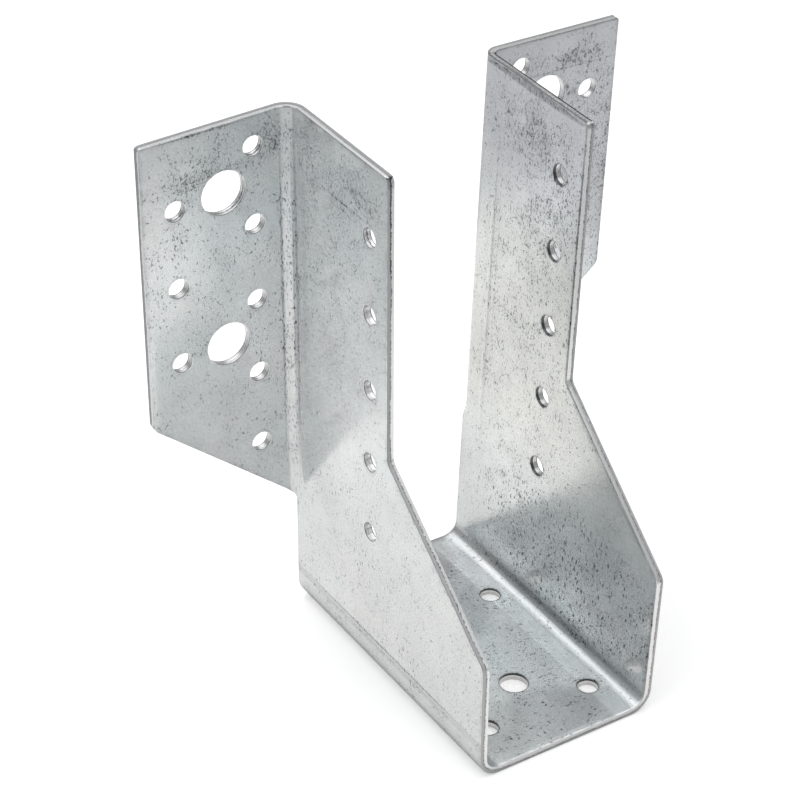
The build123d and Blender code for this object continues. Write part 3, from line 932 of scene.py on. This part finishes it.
outward = add(fold, "SUBTRACT", bulge, add(fold, "MULTIPLY", t, cosine))

# %% Both together: out from the floor bend's axis by its radius and the flange's reach
reach = add(fold, "ADD", floor_radius, outward)
floor_sine, floor_cosine = add(fold, "SINE", floor_angle), add(fold, "COSINE", floor_angle)
on_floor = add(fold, "ADD", given["Half floor"], add(fold, "MINIMUM", past_floor, 0.0))
leaned = add(fold, "MULTIPLY_ADD", up_wall, floor_cosine, on_floor)
across = add(fold, "MULTIPLY_ADD", reach, floor_sine, leaned)
sunk = add(fold, "SUBTRACT", given["Floor fold height"], add(fold, "MULTIPLY", reach, floor_cosine))
above = add(fold, "MULTIPLY_ADD", up_wall, floor_sine, sunk)
across = add(fold, "MULTIPLY", add(fold, "SIGN", flat_x), across)
folded = add(fold, "ShaderNodeCombineXYZ", across, back, above)
metres = add(fold, "ShaderNodeVectorMath", folded, named={"Scale": given["Scale"]}, operation="SCALE")

# %% Keep the flat place for the materials, move the points and set the materials
kept = add(fold, "GeometryNodeStoreNamedAttribute", given["Geometry"], data_type="FLOAT_VECTOR",
           domain="POINT", named={"Name": "flat", "Value": position})
placed = add(fold, "GeometryNodeSetPosition", kept, named={"Position": metres})
cut_faces = add(fold, "GeometryNodeInputNamedAttribute", data_type="BOOLEAN", named={"Name": "cut"})
real = add(fold, "GeometryNodeRealizeInstances", placed)
coated = add(fold, "GeometryNodeSetMaterial", real, named={"Material": zinc})
edged = add(fold, "GeometryNodeSetMaterial", coated, named={"Selection": cut_faces, "Material": cut_steel})
result = fold.nodes.new("NodeGroupOutput")
fold.links.new(edged, result.inputs[0])
print("folding tree:", len(fold.nodes), "nodes")

# %% [markdown]
# ## From the tree to a plain mesh
# The tree's inputs are set by their identifiers, because two inputs may share a name. The folded
# result is then copied to a plain mesh, and the modifier goes: what is shown is the mesh alone.
# Edges sharper than 40 degrees, which are those of the cuts, stay sharp.

# %% Fold it and keep a plain mesh
SHARP_ANGLE = math.radians(40)

modifier = hanger.modifiers.new("fold", "NODES")
modifier.node_group = fold
for item in fold.interface.items_tree:
    if item.item_type == "SOCKET" and item.in_out == "INPUT" and item.name in fold_inputs:
        modifier[item.identifier] = fold_inputs[item.name]
depsgraph = bpy.context.evaluated_depsgraph_get()
folded_mesh = bpy.data.meshes.new_from_object(hanger.evaluated_get(depsgraph), depsgraph=depsgraph)
hanger.modifiers.clear()
hanger.data = folded_mesh
folded_mesh.name = "hanger_visual"
folded_mesh.set_sharp_from_angle(angle=SHARP_ANGLE)
places = np.array([v.co for v in folded_mesh.vertices])
print("folded from", places.min(0).round(5), "to", places.max(0).round(5),
      "slots", [m.name for m in folded_mesh.materials])

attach(hanger, "root")
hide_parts("hanger_sheet")

# %% [markdown]
# ## The table
# The hanger stands on a matt white board. A board lit by lamps alone would be grey in places, so it
# also glows, for two kinds of ray. The camera sees it white, with the hanger's soft shadow, and far
# off it glows more, so that it stays white where the lamps don't reach. The metal mirrors a painted
# pool of light round the hanger, warm in its middle and cool further out. The pool holds a painted
# shadow in one patch behind the left flange, and a painted contact shadow in a thin band where the
# sheet stands, as the sheet's own shade would be.

# %% Table
WHITE = (1.0, 1.0, 1.0, 1.0)
WARM_WHITE, COOL_WHITE = srgb("FFFCF7"), srgb("F9FCFF")
LAMP_GREY, MIRRORED_GREY, SEEN_GREY = ((value, value, value, 1.0) for value in (0.8, 0.55, 0.9))
TABLE_HALF, TABLE_DROP = 3.0, 0.0001
# Places and distances are metres from the middle of the joist seat
POOL_MIDDLE, POOL_EDGE, POOL_LEVELS = (-0.02, 0.02, 0.0), (0.165, 0.2), (0.62, 0.1)
DIM_MIDDLE, DIM_TURN, DIM_HALF = (-0.094, 0.129, 0.0), (0.0, 0.0, math.radians(127)), (0.058, 0.024, 1.0)
DIM_EDGE, DIM_LEVELS = (0.6, 1.0), (0.2, 1.0)
FOOT_HALF, BAND_INSET, BAND_WIDTH = (0.0245, 0.0396, 0.0), 0.001, 0.006
FAR_OFF, SEEN_LEVELS = (0.4, 1.3), (0.345, 1.0)
COOLER_FROM = (0.12, 0.22)
EITHER_END = (0.0, 1.0)

table_mesh = bpy.data.meshes.new("table")
table_corners = [(x * TABLE_HALF, y * TABLE_HALF, 0) for x, y in ((-1, -1), (1, -1), (1, 1), (-1, 1))]
table_mesh.from_pydata(table_corners, [], [(0, 1, 2, 3)])
table = bpy.data.objects.new("table", table_mesh)
bpy.context.scene.collection.objects.link(table)
table.location.z = -TABLE_DROP
table_material = bpy.data.materials.new("matt_white_laminate_board")
table_material.use_nodes = True
tree = table_material.node_tree
tree.nodes.clear()
table_mesh.materials.append(table_material)
print("table", 2 * TABLE_HALF, "m wide")

# %% The glow that the metal mirrors
place = add(tree, "ShaderNodeTexCoord", output=3)
from_middle = add(tree, "ShaderNodeVectorMath", place, POOL_MIDDLE, operation="DISTANCE", output=1)
# A painted pool of light round the hanger, for the metal's reflections
pool = add(tree, "ShaderNodeMapRange", from_middle, *POOL_EDGE, *POOL_LEVELS, **SOFT)
# A painted shadow of the left flange: one dim patch of the pool behind it
patch = add(tree, "ShaderNodeMapping", place, DIM_MIDDLE, DIM_TURN, DIM_HALF, vector_type="TEXTURE")
from_patch = add(tree, "ShaderNodeVectorMath", patch, operation="LENGTH", output=1)
shade = add(tree, "ShaderNodeMapRange", from_patch, *DIM_EDGE, *DIM_LEVELS, **SOFT)
# A painted contact shadow: the pool is dark in a thin band along the sheet's foot
in_one_quarter = add(tree, "ShaderNodeVectorMath", place, operation="ABSOLUTE")
from_foot = add(tree, "ShaderNodeVectorMath", in_one_quarter, FOOT_HALF, operation="SUBTRACT")
past_side, past_end, _ = add(tree, "ShaderNodeSeparateXYZ", from_foot).node.outputs
apart = add(tree, "ABSOLUTE", add(tree, "ADD", add(tree, "MAXIMUM", past_side, past_end), BAND_INSET))
beside = add(tree, "ShaderNodeMapRange", apart, 0.0, BAND_WIDTH, *EITHER_END, **SOFT)
pool = add(tree, "MULTIPLY", pool, add(tree, "MULTIPLY", shade, beside))
cooler = add(tree, "ShaderNodeMapRange", from_middle, *COOLER_FROM, *EITHER_END)
hue = add(tree, "ShaderNodeMix", cooler, named={FROM: WARM_WHITE, TO: COOL_WHITE}, **COLOUR_MIX)

# %% What each kind of ray meets
# A Mix node set to single numbers takes them at these inputs
MIRRORED, SEEN = 2, 3

path = add(tree, "ShaderNodeLightPath").node.outputs
by_camera = path["Is Camera Ray"]
far_glow = add(tree, "ShaderNodeMapRange", from_middle, *FAR_OFF, *SEEN_LEVELS)
level = add(tree, "ShaderNodeMix", by_camera, data_type="FLOAT", named={MIRRORED: pool, SEEN: far_glow})
tint = add(tree, "ShaderNodeMix", by_camera, named={FROM: hue, TO: WHITE}, **COLOUR_MIX)
glow = add(tree, "ShaderNodeEmission", tint, level)
lamp_lit = add(tree, "ShaderNodeBsdfDiffuse", LAMP_GREY)
board = add(tree, "ShaderNodeMixShader", by_camera, add(tree, "ShaderNodeBsdfDiffuse", MIRRORED_GREY),
            add(tree, "ShaderNodeBsdfDiffuse", SEEN_GREY))
glowing = add(tree, "ShaderNodeAddShader", board, glow)
seen = add(tree, "MAXIMUM", by_camera, path["Is Glossy Ray"])
shown = add(tree, "ShaderNodeMixShader", seen, lamp_lit, glowing)
add(tree, "ShaderNodeOutputMaterial", shown, output=None)
print("table material:", len(tree.nodes), "nodes")

# %% [markdown]
# ## The room and the lamps
# The room is white. The camera sees it fully white, and the metal gets a weak even light from it.
# The overhead softbox gives the hanger its main light and the short soft shadow, and two weaker
# ones, on the left and in front, lift the faces that look that way.

# %% World and lamps
ROOM_LEVEL, BACKDROP_LEVEL = 0.17, 1.0
# Name, place, what it is aimed at and size, in metres, and power in watts
SOFTBOXES = [
    ("overhead_softbox", (-0.1, 0.28, 0.9), (-0.1, 0.28, 0.0), 1.5, 10.5),
    ("left_softbox", (-1.1, 0.1, 0.7), (0.0, 0.0, 0.05), 1.0, 3.0),
    ("fore_softbox", (0.1, -1.1, 0.7), (0.0, 0.0, 0.05), 1.0, 3.0),
]

world = bpy.data.worlds.new("white_room")
bpy.context.scene.world = world
world.use_nodes = True
tree = world.node_tree
tree.nodes.clear()
path = add(tree, "ShaderNodeLightPath").node.outputs
room = add(tree, "ShaderNodeBackground", WHITE, ROOM_LEVEL)
backdrop = add(tree, "ShaderNodeBackground", WHITE, BACKDROP_LEVEL)
shown = add(tree, "ShaderNodeMixShader", path["Is Camera Ray"], room, backdrop)
add(tree, "ShaderNodeOutputWorld", shown, output=None)

for name, place, aim, size, power in SOFTBOXES:
    lamp = bpy.data.lights.new(name, "AREA")
    lamp.shape = "SQUARE"
    lamp.size = size
    lamp.energy = power
    holder = bpy.data.objects.new(name, lamp)
    holder.location = place
    holder.rotation_euler = (Vector(aim) - Vector(place)).to_track_quat("-Z", "Y").to_euler()
    bpy.context.scene.collection.objects.link(holder)
print("lamps:", len(SOFTBOXES))

# %% [markdown]
# ## The camera
# The camera stands about 0.66 m away, to the left and well above, with a long lens. Its place and
# direction are those from which the hanger's holes and edges line up with the photograph.

# %% Camera
CAMERA_PLACE = Vector((-305.585, -412.643, 421.962)) * MM
CAMERA_FORWARD = Vector((0.46702, 0.682225, -0.562548))
CAMERA_RIGHT = Vector((0.835803, -0.548265, 0.028969))
FOCAL_PIXELS, FRAME_PIXELS = 2721.145, 800
SENSOR_MM, NEAREST = 36.0, 0.01
camera_data = bpy.data.cameras.new("camera")
camera = bpy.data.objects.new("camera", camera_data)
camera_data.sensor_width = SENSOR_MM
camera_data.lens = FOCAL_PIXELS / FRAME_PIXELS * camera_data.sensor_width
camera_data.clip_start = NEAREST
forward = CAMERA_FORWARD.normalized()
right = (CAMERA_RIGHT - CAMERA_RIGHT.dot(forward) * forward).normalized()
up = right.cross(forward)
turn = Matrix((right, up, -forward)).transposed()
camera.matrix_world = Matrix.Translation(CAMERA_PLACE) @ turn.to_4x4()
bpy.context.scene.collection.objects.link(camera)
bpy.context.scene.camera = camera
bpy.context.scene.view_settings.view_transform = "Standard"
print("lens", round(camera_data.lens, 2), "mm")
